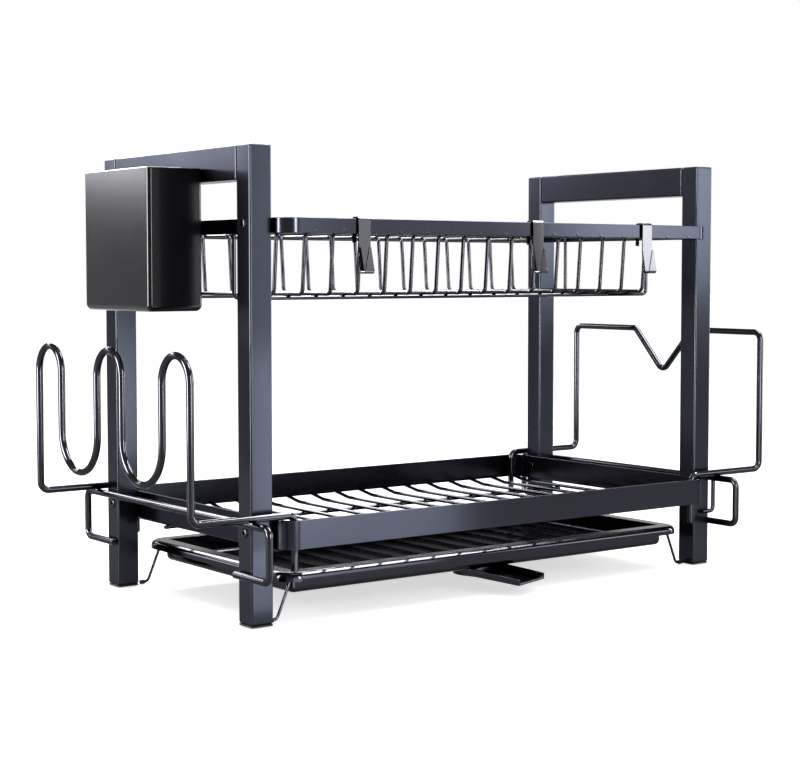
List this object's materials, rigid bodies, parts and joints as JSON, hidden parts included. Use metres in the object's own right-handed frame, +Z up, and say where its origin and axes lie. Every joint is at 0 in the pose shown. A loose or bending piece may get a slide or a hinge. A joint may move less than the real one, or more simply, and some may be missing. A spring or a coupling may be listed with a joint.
{
  "type": "two-tier dish rack",
  "caption": "Two-tier dish rack with end frames, stepped plate basket, wire shelf, slide-out drip tray with swivel spout, cutlery caddy, hooks, cup and board holders",
  "frame": {"origin": "on the table, under the middle of the whole rack with its holders", "axes": "+X along the rack from the cup holder to the board holder, +Y from front to back, +Z up"},
  "size_m": [0.634, 0.308, 0.375],
  "materials": {
    "frame_paint": "satin powder coat",
    "wire_coating": "gloss dipped coating",
    "hook_metal": "gloss paint",
    "screw_metal": "blackened",
    "gloss_black_plastic": "gloss",
    "foot_plastic": "matt"
  },
  "bodies": {
    "rack": {"left_front_leg": "frame_paint", "left_back_leg": "frame_paint", "right_front_leg": "frame_paint", "right_back_leg": "frame_paint", "left_top_bar": "frame_paint", "right_top_bar": "frame_paint", "leg_plugs": "foot_plastic", "upper_rim": "frame_paint", "upper_cross_wires": "wire_coating", "upper_long_wires": "wire_coating", "lower_rim": "frame_paint", "lower_cross_wires": "wire_coating", "lower_long_wires": "wire_coating", "frame_screws": "screw_metal", "frame_nuts": "screw_metal"},
    "tray": {"drip_tray": "gloss_black_plastic", "tray_foot_left": "wire_coating", "tray_foot_right": "wire_coating", "tray_foot_sleeves": "foot_plastic"},
    "spout": {"drain_spout": "gloss_black_plastic"},
    "hook_left_body": {"hook_left": "hook_metal"},
    "hook_middle_body": {"hook_middle": "hook_metal"},
    "hook_right_body": {"hook_right": "hook_metal"},
    "caddy": {"cutlery_caddy": "gloss_black_plastic"},
    "cup_holder": {"cup_holder_loops": "wire_coating", "cup_holder_brace": "wire_coating"},
    "board_holder": {"board_holder_frame": "wire_coating", "board_holder_brace": "wire_coating", "board_holder_stop": "wire_coating"}
  },
  "joints": [
    {"name": "tray_slide", "type": "slide", "parent": "rack", "child": "tray", "axis": [0, -1, 0], "range_m": [0, 0.2]},
    {"name": "spout_swivel", "type": "hinge", "parent": "tray", "child": "spout", "pos_m": [0, -0.085, 0.02], "axis": [0, 0, 1], "range_deg": [-109, 71]},
    {"name": "hook_left_lift", "type": "slide", "parent": "rack", "child": "hook_left_body", "axis": [0, 0, 1], "range_m": [0, 0.015]},
    {"name": "hook_middle_lift", "type": "slide", "parent": "rack", "child": "hook_middle_body", "axis": [0, 0, 1], "range_m": [0, 0.015]},
    {"name": "hook_right_lift", "type": "slide", "parent": "rack", "child": "hook_right_body", "axis": [0, 0, 1], "range_m": [0, 0.015]},
    {"name": "caddy_lift", "type": "slide", "parent": "rack", "child": "caddy", "axis": [0, 0, 1], "range_m": [0, 0.02]},
    {"name": "cup_holder_lift", "type": "slide", "parent": "rack", "child": "cup_holder", "axis": [0, 0, 1], "range_m": [0, 0.025]},
    {"name": "board_holder_lift", "type": "slide", "parent": "rack", "child": "board_holder", "axis": [0, 0, 1], "range_m": [0, 0.025]}
  ]
}
